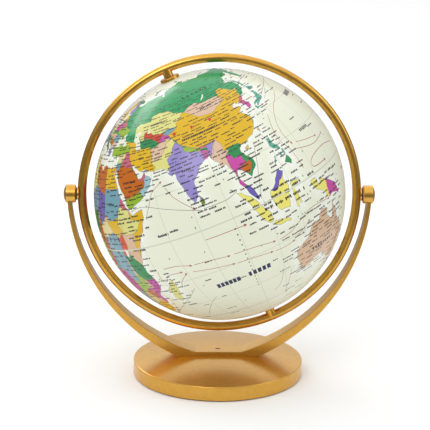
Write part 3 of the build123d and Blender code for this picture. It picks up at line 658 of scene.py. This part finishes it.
def small_words():
    """Place names as rows of dashes: thick on land and along coasts, rare in the open sea."""
    rng = random.Random(11)
    bars = []
    latitude = -76.0
    while latitude < 78:
        narrow = math.cos(math.radians(latitude))
        longitude = -180 + rng.uniform(0, 5)
        while longitude < 180:
            length = rng.uniform(2.0, 5.6)
            middle = longitude + length / 2 / narrow
            shore = coast_tree.find(direction(middle, pressed(latitude)))[2]
            if on_land(middle, latitude):
                likely = 0.73 if abs(latitude) < 60 else 0.3
            else:
                likely = 0.58 if shore < 0.06 and latitude < 55 else 0.2 if shore < 0.13 else 0.04
            if rng.random() < likely:
                bars += word(longitude, latitude + rng.uniform(-0.4, 0.4), length, rng.uniform(0.48, 0.7), rng)
            longitude += (length + rng.uniform(0.6, 2.4)) / narrow
        latitude += 1.62
    return bars


def title_words():
    """Large words as rows of upright strokes, each with its own ink."""
    rng = random.Random(5)
    strokes = []
    for longitude, latitude, half_length, count, size, ink in titles:
        narrow = max(math.cos(math.radians(latitude)), 0.1)
        pitch = 2 * half_length / count
        for index in range(count):
            centre = longitude + (index + 0.5) * pitch - half_length
            half = min(pitch * narrow * 0.41, 0.75 * size) * rng.uniform(0.8, 1.0)
            strokes.append((ink, dash(centre, latitude, half, title_height * size / 2)))
    return strokes


def arrow(line, size):
    """An arrowhead at the end of a line."""
    (lon_a, lat_a), (lon_b, lat_b) = line[-2], line[-1]
    narrow = max(math.cos(math.radians(lat_b)), 0.1)
    along = Vector(((lon_b - lon_a) * narrow, lat_b - lat_a)).normalized() * size
    across = Vector((-along.y, along.x)) * 0.4
    tip = (lon_b + along.x / narrow, lat_b + along.y)
    return [tip, (lon_b + across.x / narrow, lat_b + across.y), (lon_b - across.x / narrow, lat_b - across.y)]


def printed_marks():
    """Every line, dot and word on the map as (ink, outline), later ones on top."""
    marks = []
    for points in sailing_lines:
        marks += [("letter", quad) for quad in strip(smooth_line(points, 5), line_width)]
    for points in currents:
        line = smooth_line(points, 5)
        marks += [("current", quad) for quad in strip(line, current_width)]
        marks.append(("current", arrow(line, 1.3)))
    marks += [("letter", quad) for quad in small_words()]
    marks += title_words()
    (lon_a, lat_a), (lon_b, lat_b) = ridge_dots
    for index in range(15):
        share = index / 14
        marks.append(("letter", dot(lon_a + (lon_b - lon_a) * share, lat_a + (lat_b - lat_a) * share, 0.32)))
    marks += [("leaf_green", dot(longitude, latitude, 0.3)) for longitude, latitude in island_dots]
    return marks


def graticule():
    """Thin bars along the meridians and parallels."""
    lines = [[(meridian, latitude) for latitude in range(-78, 79, 3)]
             for meridian in range(-180, 180, graticule_step)]
    lines += [[(longitude, parallel) for longitude in range(-180, 181, 4)]
              for parallel in range(-75, 90, graticule_step) if parallel]
    return [quad for line in lines for quad in strip(line, line_width)]


def closed(outline):
    """An outline as a line that ends where it starts."""
    return outline + [outline[0]]


# Every outline on the map as (role, ink, outline). A border only shows on land, the grid at sea
layers = [("land", lands[name][0], outline) for name, outline in coasts.items()]
layers += [("lake", "ocean", natural_outline(points)) for points in lakes.values()]
for country_ink, country_points in countries:
    country = natural_outline(country_points)
    layers.append(("country", country_ink, country))
    layers += [("border", "border_line", quad) for quad in strip(closed(country), border_width)]
for coast in coasts.values():
    layers += [("mark", "coast_line", quad) for quad in strip(closed(coast), border_width)]
layers += [("grid", "grey_line", quad) for quad in graticule()]
layers += [("mark", ink, outline) for ink, outline in printed_marks()]


def print_ink(face_layers):
    """The ink that shows where several layers overlap."""
    roles = {}
    for number in sorted(face_layers):
        role, ink, _ = layers[number]
        roles[role] = ink
    if "mark" in roles:
        return roles["mark"]
    if "lake" in roles or "land" not in roles:
        return roles.get("grid", "ocean")
    if "border" in roles:
        return roles["border"]
    return roles.get("country", roles["land"])


def flat_place(longitude, latitude, side):
    """Where a place falls on a hemisphere's flat print, in degrees from its pole."""
    radius = 90 - side * pressed(latitude)
    turn = math.radians(longitude - front_longitude)
    return Vector((radius * math.cos(turn), radius * math.sin(turn)))


def round_place(place, side):
    """The point on the globe's surface of a place on the flat print, as seen from the pivot."""
    radius = place.length
    rise = math.radians(90 - radius) * side
    flat = place / radius
    return (front_axis * flat.x + east_axis * flat.y) * math.cos(rise) + north_axis * math.sin(rise)


def grid_points():
    """Evenly spread points between the pole hole and the equator of a flat print."""
    points = []
    radius = pole_hole + grid_step
    while radius < 90 - grid_step / 2:
        count = max(12, round(360 * math.sin(math.radians(radius)) / grid_step))
        for index in range(count):
            turn = 2 * math.pi * (index + 0.5 * (round(radius) % 2)) / count
            points.append(Vector((radius * math.cos(turn), radius * math.sin(turn))))
        radius += grid_step
    return points


def print_layout(side):
    """Points, edges and faces of one hemisphere's flat print, for the triangulation."""
    points = []
    edges = []
    faces = []
    numbers = []
    for number, (role, ink, outline) in enumerate(layers):
        if not any(side * latitude > -0.5 for _, latitude in outline):
            continue
        corners = [flat_place(longitude, latitude, side) for longitude, latitude in outline]
        area = sum(a.x * b.y - a.y * b.x for a, b in zip(corners, corners[1:] + corners[:1]))
        if area < 0:
            corners.reverse()
        start = len(points)
        points += corners
        faces.append(list(range(start, len(points))))
        numbers.append(number)
    for radius, step in ((90, 1), (90 - equator_width, 1), (pole_hole, 10)):
        start = len(points)
        count = 360 // step
        points += [Vector((radius * math.cos(math.radians(turn)), radius * math.sin(math.radians(turn))))
                   for turn in range(0, 360, step)]
        edges += [(start + index, start + (index + 1) % count) for index in range(count)]
    points += grid_points()
    return points, edges, faces, numbers


def kept_triangles(result):
    """The triangles of a triangulation that lie between the pole hole and the equator."""
    for triangle, origin in zip(result[2], result[5]):
        middle = sum((result[0][corner] for corner in triangle), Vector((0, 0))) / 3
        if pole_hole < middle.length < 90:
            yield list(triangle), origin, middle.length


def facing_out(triangle, units):
    """A triangle's corners in the order that makes it face away from the pivot."""
    a, b, c = triangle
    if (units[b] - units[a]).cross(units[c] - units[a]).dot(units[a]) < 0:
        return a, c, b
    return a, b, c


def loose_edges(triangles):
    """The edges that only one triangle uses, in that triangle's direction."""
    edges = {}
    for a, b, c in triangles:
        for start, end in ((a, b), (b, c), (c, a)):
            if not edges.pop((end, start), None):
                edges[(start, end)] = True
    return list(edges)


def skin(side, points, edges, faces):
    """A triangulated skin: unit vectors, triangles, and the layers and radius under each triangle."""
    result = geometry.delaunay_2d_cdt(points, edges, faces, 0, 1e-5, True)
    kept = list(kept_triangles(result))
    used = sorted({corner for triangle, _, _ in kept for corner in triangle})
    place = {corner: index for index, corner in enumerate(used)}
    flat = [result[0][corner] for corner in used]
    units = [round_place(point, side) for point in flat]
    triangles = [facing_out([place[corner] for corner in triangle], units) for triangle, _, _ in kept]
    return flat, units, triangles, [(origin, radius) for _, origin, radius in kept]


def printed_map(pole, side):
    """One hemisphere's print as a thin closed shell, with a material for each ink."""
    points, edges, faces, numbers = print_layout(side)
    flat, outer, triangles, covers = skin(side, points, edges, faces)
    slots = []
    for origin, radius in covers:
        at_equator = radius > 90 - equator_width
        ink = "equator" if at_equator else print_ink([numbers[face] for face in origin])
        slots.append(ink_names.index(ink))

    rim = loose_edges(triangles)
    rim_corners = sorted({corner for edge in rim for corner in edge})
    rim_number = {corner: index for index, corner in enumerate(rim_corners)}
    inner_points = [flat[corner] for corner in rim_corners] + grid_points()
    inner_edges = [(rim_number[start], rim_number[end]) for start, end in rim]
    inner_flat, inner, inner_triangles, _ = skin(side, inner_points, inner_edges, [])
    nearest = kdtree.KDTree(len(inner_flat))
    for index, point in enumerate(inner_flat):
        nearest.insert((point.x, point.y, 0), index)
    nearest.balance()
    count = len(outer)
    below = {corner: count + nearest.find((flat[corner].x, flat[corner].y, 0))[1] for corner in rim_corners}
    polygons = list(triangles)
    polygons += [(a + count, c + count, b + count) for a, b, c in inner_triangles]
    polygons += [(end, start, below[start], below[end]) for start, end in rim]
    slots += [ink_names.index("ocean")] * (len(polygons) - len(triangles))
    inner_radius = globe_radius - map_thickness
    vertices = [pivot + unit * globe_radius for unit in outer] + [pivot + unit * inner_radius for unit in inner]

    mesh = bpy.data.meshes.new(f"{pole}_map_print")
    mesh.from_pydata(vertices, [], polygons)
    for name in ink_names:
        mesh.materials.append(map_inks[name])
    mesh.polygons.foreach_set("material_index", slots)
    mesh.polygons.foreach_set("use_smooth", [True] * len(polygons))
    shore = mesh.attributes.new("shore", "FLOAT", "POINT")
    nearness = []
    for unit in outer:
        local = Vector((unit.dot(front_axis), unit.dot(east_axis), unit.dot(north_axis)))
        distance = coast_tree.find(local)[2]
        nearness.append(math.exp(-((distance / shelf_reach) ** 2)))
    shore.data.foreach_set("value", nearness + [0] * len(inner))
    mesh.normals_split_custom_set_from_vertices(outer + [-unit for unit in inner])
    mesh.validate()
    piece = bpy.data.objects.new(f"{pole}_map_print", mesh)
    bpy.context.scene.collection.objects.link(piece)
    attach(piece, "globe")
    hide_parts(f"{pole}_map")
    print("map", pole, len(points), "points in,", len(polygons), "faces")
    return piece


# ---------------------------------------------------------------- materials

def new_material(name):
    """A node material, with its nodes, links and shader."""
    material = bpy.data.materials.new(name)
    material.use_nodes = True
    tree = material.node_tree
    return material, tree.nodes, tree.links, tree.nodes["Principled BSDF"]


def noise_value(nodes, links, scale, detail, low, high):
    """Noise over the piece's own coordinates, spread between two values."""
    place = nodes.new("ShaderNodeTexCoord")
    texture = nodes.new("ShaderNodeTexNoise")
    texture.inputs["Scale"].default_value = scale
    texture.inputs["Detail"].default_value = detail
    spread = nodes.new("ShaderNodeMapRange")
    spread.inputs["From Min"].default_value = 0.3
    spread.inputs["From Max"].default_value = 0.7
    spread.inputs["To Min"].default_value = low
    spread.inputs["To Max"].default_value = high
    links.new(place.outputs["Object"], texture.inputs["Vector"])
    links.new(texture.outputs["Fac"], spread.inputs["Value"])
    return spread.outputs["Result"]


def grain(nodes, links, shader, scale, depth):
    """A fine bump, depth in metres."""
    height = noise_value(nodes, links, scale, 3, 0, 1)
    bump = nodes.new("ShaderNodeBump")
    bump.inputs["Strength"].default_value = 1
    bump.inputs["Distance"].default_value = depth
    links.new(height, bump.inputs["Height"])
    links.new(bump.outputs["Normal"], shader.inputs["Normal"])


def mottled(nodes, links, shader, light, dark, scale):
    """A base colour that drifts between two tones."""
    mix = nodes.new("ShaderNodeMix")
    mix.data_type = "RGBA"
    mix.inputs["A"].default_value = dark
    mix.inputs["B"].default_value = light
    links.new(noise_value(nodes, links, scale, 4, 0, 1), mix.inputs["Factor"])
    links.new(mix.outputs["Result"], shader.inputs["Base Color"])


def gold_paint():
    """Satin gold paint: metal flake under a thin clear coat, with a faint orange peel."""
    material, nodes, links, shader = new_material("gold_paint")
    mottled(nodes, links, shader, srgb(221, 170, 76), srgb(213, 161, 68), 260)
    shader.inputs["Metallic"].default_value = 1
    shader.inputs["Coat Weight"].default_value = 0.3
    shader.inputs["Coat Roughness"].default_value = 0.14
    links.new(noise_value(nodes, links, 500, 3, 0.28, 0.31), shader.inputs["Roughness"])
    grain(nodes, links, shader, 1200, 0.000001)
    return material


def cast_iron():
    """Rough cast iron."""
    material, nodes, links, shader = new_material("cast_weight")
    mottled(nodes, links, shader, srgb(92, 92, 96), srgb(64, 64, 68), 300)
    shader.inputs["Metallic"].default_value = 0.8
    links.new(noise_value(nodes, links, 500, 4, 0.55, 0.8), shader.inputs["Roughness"])
    grain(nodes, links, shader, 700, 0.00015)
    return material


def turned_steel():
    """Bright turned steel."""
    material, nodes, links, shader = new_material("steel")
    mottled(nodes, links, shader, srgb(204, 204, 206), srgb(178, 178, 182), 900)
    shader.inputs["Metallic"].default_value = 1
    links.new(noise_value(nodes, links, 1800, 3, 0.2, 0.38), shader.inputs["Roughness"])
    grain(nodes, links, shader, 2600, 0.000006)
    return material


def moulded(name, light, dark, low, high, depth):
    """A moulded or foamed material with a fine grain."""
    material, nodes, links, shader = new_material(name)
    mottled(nodes, links, shader, light, dark, 400)
    links.new(noise_value(nodes, links, 1200, 3, low, high), shader.inputs["Roughness"])
    grain(nodes, links, shader, 2200, depth)
    return material


def map_ink(name, colour):
    """One ink of the print under its glossy laminate."""
    material, nodes, links, shader = new_material(f"ink_{name}")
    shader.inputs["Base Color"].default_value = colour
    shader.inputs["Specular IOR Level"].default_value = 0.2
    shader.inputs["Coat Weight"].default_value = 0.5
    shader.inputs["Coat Roughness"].default_value = 0.16
    links.new(noise_value(nodes, links, 340, 4, 0.42, 0.56), shader.inputs["Roughness"])
    grain(nodes, links, shader, 1100, 0.000008)
    return material


def ocean_ink():
    """The sea's ink, which pales towards every coast."""
    material = map_ink("ocean", inks["ocean"])
    nodes, links = material.node_tree.nodes, material.node_tree.links
    nearness = nodes.new("ShaderNodeAttribute")
    nearness.attribute_name = "shore"
    mix = nodes.new("ShaderNodeMix")
    mix.data_type = "RGBA"
    mix.inputs["A"].default_value = inks["ocean"]
    mix.inputs["B"].default_value = srgb(234, 237, 226)
    links.new(nearness.outputs["Fac"], mix.inputs["Factor"])
    links.new(mix.outputs["Result"], nodes["Principled BSDF"].inputs["Base Color"])
    return material


map_inks = {name: map_ink(name, colour) for name, colour in inks.items() if name != "ocean"}
map_inks["ocean"] = ocean_ink()
finishes = {
    "gold_paint": gold_paint(),
    "cast_weight": cast_iron(),
    "steel": turned_steel(),
    "pad_foam": moulded("pad_foam", srgb(46, 46, 46), srgb(30, 30, 30), 0.75, 0.95, 0.0001),
    "plate_board": moulded("plate_board", srgb(58, 56, 54), srgb(40, 39, 38), 0.6, 0.8, 0.00004),
    "nylon": moulded("nylon", srgb(70, 48, 26), srgb(54, 36, 20), 0.45, 0.6, 0.00001),
    "bush_plastic": moulded("bush_plastic", srgb(226, 222, 212), srgb(212, 208, 198), 0.4, 0.5, 0.00001),
    "shell_plastic": moulded("shell_plastic", srgb(232, 232, 228), srgb(220, 220, 216), 0.3, 0.4, 0.00001),
    "printed_map": map_inks["ocean"],
}
for subpart in frame["record"]["subparts"]:
    for slot in frame["nodes"][subpart["node"]].material_slots:
        slot.material = finishes[subpart["material_slot"]]

printed_map("north", 1)
printed_map("south", -1)


# ---------------------------------------------------------------- floor, light and camera

table_radius = 0.38

def new_object(name, data):
    """An object in the scene."""
    thing = bpy.data.objects.new(name, data)
    bpy.context.scene.collection.objects.link(thing)
    return thing


def floor_sheet(name, corners, height, material):
    """A flat sheet of the floor."""
    mesh = bpy.data.meshes.new(name)
    mesh.from_pydata([(x, y, 0) for x, y in corners], [], [tuple(range(len(corners)))])
    mesh.materials.append(material)
    piece = new_object(name, mesh)
    piece.location.z = cad_box[0].z + height
    return piece


def floor():
    """A plain pale floor. The gold only mirrors its middle, as on a small table in a dimmer room."""
    material, nodes, links, shader = new_material("floor_paper")
    shader.inputs["Base Color"].default_value = (0.93, 0.93, 0.93, 1)
    shader.inputs["Roughness"].default_value = 0.9
    shader.inputs["Specular IOR Level"].default_value = 0.1
    half = 6.0
    wide = floor_sheet("floor", [(-half, -half), (half, -half), (half, half), (-half, half)], -0.0003, material)
    wide.visible_glossy = False
    turns = [math.radians(turn) for turn in range(0, 360, 6)]
    table = [(table_radius * math.cos(turn), table_radius * math.sin(turn)) for turn in turns]
    floor_sheet("floor_middle", table, -0.0002, material)


def softbox(name, place, size, watts):
    """A square area light aimed at the globe."""
    data = bpy.data.lights.new(name, "AREA")
    data.shape = "RECTANGLE"
    data.size, data.size_y = size
    data.energy = watts
    lamp = new_object(name, data)
    lamp.location = place
    lamp.rotation_euler = (pivot - Vector(place)).to_track_quat("-Z", "Y").to_euler()


photographer = Vector((0, -0.98, -0.05)).normalized()
room_side = 0.28          # brightness of the room's walls at the sides, and what its other parts add
room_overhead = 0.93
room_behind = 0.4
room_photographer = 0.82  # the wall behind the photographer, as a share of the rest


def room_part(nodes, links, place, towards, start, full, low, high):
    """Brightness that grows from low to high as a direction turns towards one part of the room."""
    turn = nodes.new("ShaderNodeVectorMath")
    turn.operation = "DOT_PRODUCT"
    turn.inputs[1].default_value = towards
    spread = nodes.new("ShaderNodeMapRange")
    spread.interpolation_type = "SMOOTHSTEP"
    spread.inputs["From Min"].default_value = start
    spread.inputs["From Max"].default_value = full
    spread.inputs["To Min"].default_value = low
    spread.inputs["To Max"].default_value = high
    links.new(place, turn.inputs[0])
    links.new(turn.outputs["Value"], spread.inputs["Value"])
    return spread.outputs["Result"]


def combined(nodes, links, operation, first, second):
    """Two brightness values, added or multiplied."""
    result = nodes.new("ShaderNodeMath")
    result.operation = operation
    links.new(first, result.inputs[0])
    links.new(second, result.inputs[1])
    return result.outputs["Value"]


def room():
    """A white studio: bright overhead and behind, dimmer at the sides, dim behind the photographer."""
    world = bpy.data.worlds.new("room")
    world.use_nodes = True
    nodes, links = world.node_tree.nodes, world.node_tree.links
    place = nodes.new("ShaderNodeTexCoord").outputs["Generated"]
    overhead = room_part(nodes, links, place, (0, 0, 1), 0.1, 0.9, room_side, room_side + room_overhead)
    behind = room_part(nodes, links, place, (0, 0.91, 0.41), 0.7, 0.97, 0, room_behind)
    dim = room_part(nodes, links, place, photographer, 0.55, 0.95, 1, room_photographer)
    bright = combined(nodes, links, "ADD", overhead, behind)
    links.new(combined(nodes, links, "MULTIPLY", bright, dim), nodes["Background"].inputs["Strength"])
    nodes["Background"].inputs["Color"].default_value = (1, 1, 1, 1)
    bpy.context.scene.world = world


def lights():
    """A key light high on the left, one behind on the left, and a fill on the right."""
    softbox("key_box", (-0.65, -1.26, 1.25), (0.8, 0.8), 7)
    softbox("back_box", (-0.99, 1.19, 1.09), (1.1, 0.45), 6)
    softbox("fill_box", (1.6, -0.5, 0.9), (0.8, 1.2), 4)


def camera():
    """A long lens, a little above the globe, turned slightly to the left."""
    azimuth, elevation, roll = math.radians(-1.78), math.radians(15.44), math.radians(0.64)
    distance = 1.505
    target = pivot + Vector((-0.0035, 0, -0.0173))
    back = Vector((math.sin(azimuth) * math.cos(elevation), -math.cos(azimuth) * math.cos(elevation),
                   math.sin(elevation)))
    data = bpy.data.cameras.new("camera")
    data.sensor_width = 36
    data.lens = 158.0
    thing = new_object("camera", data)
    thing.location = target + back * distance
    thing.rotation_euler = (-back).to_track_quat("-Z", "Y").to_euler()
    thing.rotation_euler.rotate_axis("Z", roll)
    bpy.context.scene.camera = thing


floor()
room()
lights()
camera()
bpy.context.scene.view_settings.view_transform = "Standard"
